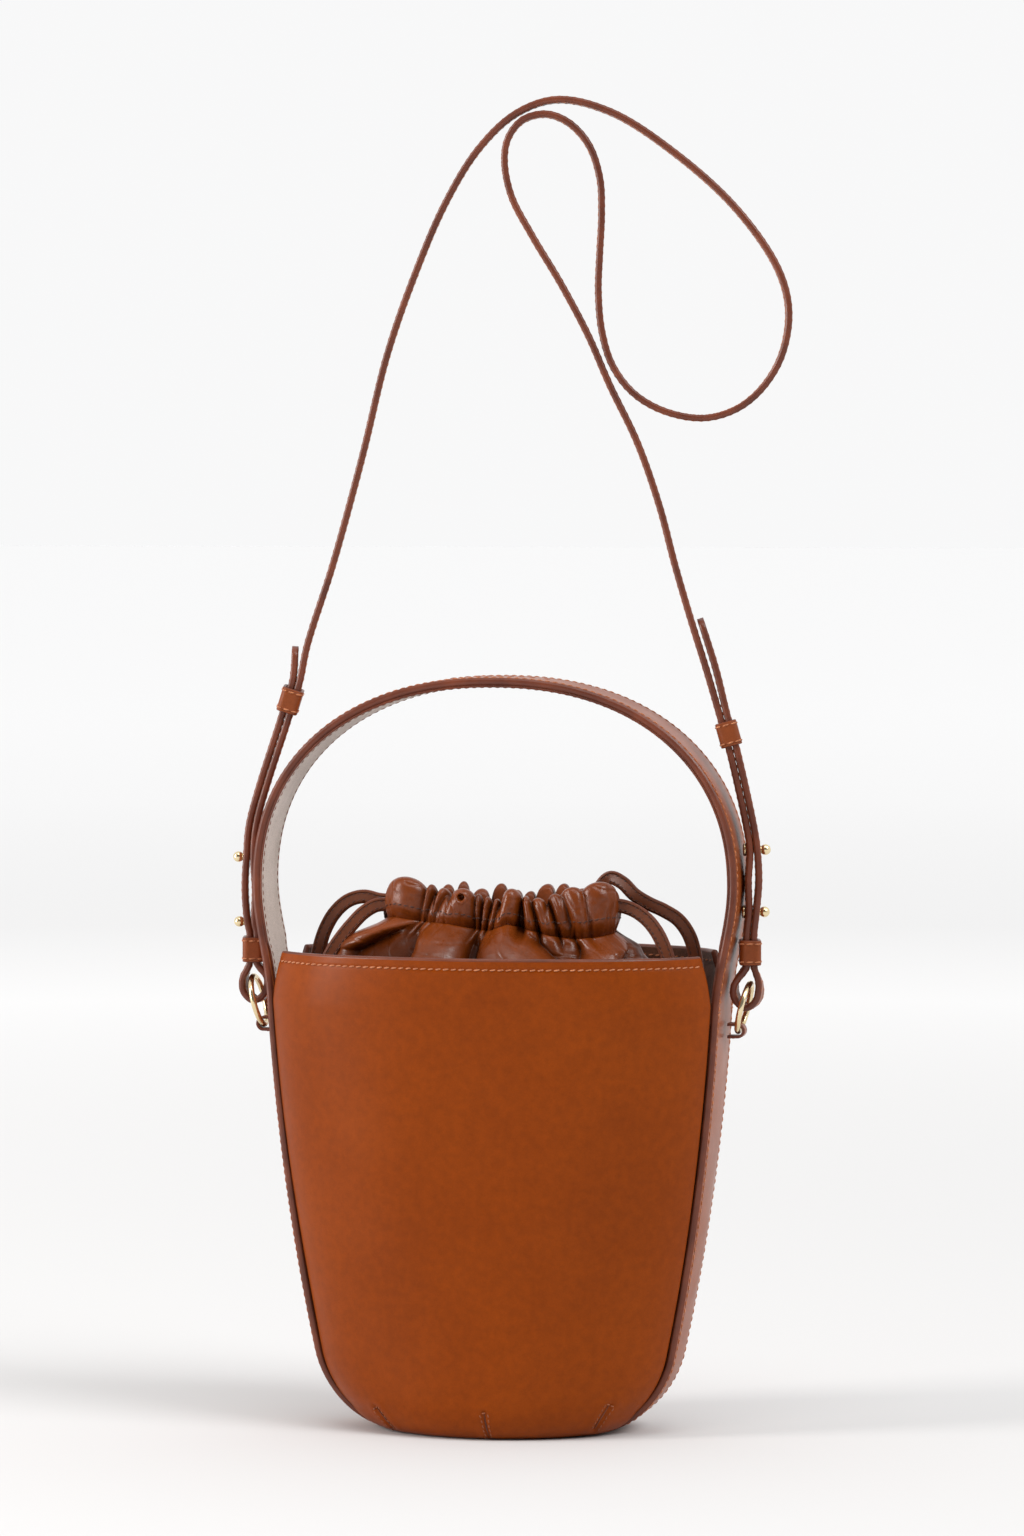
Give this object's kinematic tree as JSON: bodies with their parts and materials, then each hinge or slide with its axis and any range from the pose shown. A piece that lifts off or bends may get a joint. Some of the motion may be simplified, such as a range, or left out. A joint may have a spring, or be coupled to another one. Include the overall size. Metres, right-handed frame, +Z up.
{
  "type": "bucket bag",
  "caption": "Soft leather bucket bag with an arched top handle, a gathered drawstring pouch inside and a long flat shoulder strap looped through side rings.",
  "frame": {"origin": "centre of the foot, on the surface that the bag stands on", "axes": "+Z up, +X from the left gusset to the right gusset, -Y towards the front panel"},
  "size_m": [0.248, 0.12, 0.5798],
  "materials": {
    "body_leather": "smooth satin calf",
    "band_leather": "smooth satin calf, painted edges",
    "strap_leather": "smooth satin calf, stitched edges",
    "pouch_leather": "soft matt nappa",
    "lace_leather": "flat, stitched",
    "lining": "matt suede",
    "board": "matt stiffener",
    "gold_metal": "polished pale gold plate"
  },
  "bodies": {
    "bag": {"front_panel": "body_leather", "back_panel": "body_leather", "lining_front": "lining", "lining_back": "lining", "gusset_right": "band_leather", "gusset_left": "band_leather", "lining_right": "lining", "lining_left": "lining", "base_strip": "band_leather", "base_board": "board", "base_lining": "lining", "handle_outer": "band_leather", "handle_lining": "band_leather", "ring_tab_right": "band_leather", "ring_tab_left": "band_leather", "pouch_body": "pouch_leather", "pouch_collar": "pouch_leather"},
    "strap": {"shoulder_strap": "strap_leather", "stud_left_lower": "gold_metal", "stud_base_left_lower": "gold_metal", "stud_left_upper": "gold_metal", "stud_base_left_upper": "gold_metal", "stud_right_lower": "gold_metal", "stud_base_right_lower": "gold_metal", "stud_right_upper": "gold_metal", "stud_base_right_upper": "gold_metal"},
    "keeper_left_lower": {"keeper_left_lower": "strap_leather"},
    "keeper_left_upper": {"keeper_left_upper": "strap_leather"},
    "keeper_right_lower": {"keeper_right_lower": "strap_leather"},
    "keeper_right_upper": {"keeper_right_upper": "strap_leather"},
    "ring_left": {"ring_left": "gold_metal"},
    "ring_right": {"ring_right": "gold_metal"},
    "laces_left": {"lace_left_front": "lace_leather", "lace_left_back": "lace_leather"},
    "laces_right": {"lace_right_front": "lace_leather", "lace_right_back": "lace_leather"}
  },
  "joints": [
    {"name": "strap_swing", "type": "hinge", "parent": "bag", "child": "strap", "pos_m": [0, 0, 0.1855], "axis": [1, 0, 0], "range_deg": [-75, 75]},
    {"name": "ring_left_rock", "type": "hinge", "parent": "bag", "child": "ring_left", "pos_m": [-0.10531, 0, 0.17512], "axis": [0, 1, 0], "range_deg": [-3, 3]},
    {"name": "ring_right_rock", "type": "hinge", "parent": "bag", "child": "ring_right", "pos_m": [0.10531, 0, 0.17512], "axis": [0, 1, 0], "range_deg": [-3, 3]},
    {"name": "keeper_left_lower_slide", "type": "slide", "parent": "strap", "child": "keeper_left_lower", "axis": [0, 0, 1], "range_m": [0, 0.002]},
    {"name": "keeper_right_lower_slide", "type": "slide", "parent": "strap", "child": "keeper_right_lower", "axis": [0, 0, 1], "range_m": [0, 0.002]},
    {"name": "keeper_left_upper_slide", "type": "slide", "parent": "strap", "child": "keeper_left_upper", "axis": [0.3, 0, 0.9539], "range_m": [-0.003, 0.003]},
    {"name": "keeper_right_upper_slide", "type": "slide", "parent": "strap", "child": "keeper_right_upper", "axis": [-0.27, 0, 0.9629], "range_m": [-0.003, 0.003]},
    {"name": "laces_left_pull", "type": "slide", "parent": "bag", "child": "laces_left", "axis": [-1, 0, 0], "range_m": [0, 0.005]},
    {"name": "laces_right_pull", "type": "slide", "parent": "bag", "child": "laces_right", "axis": [1, 0, 0], "range_m": [0, 0.005]}
  ]
}
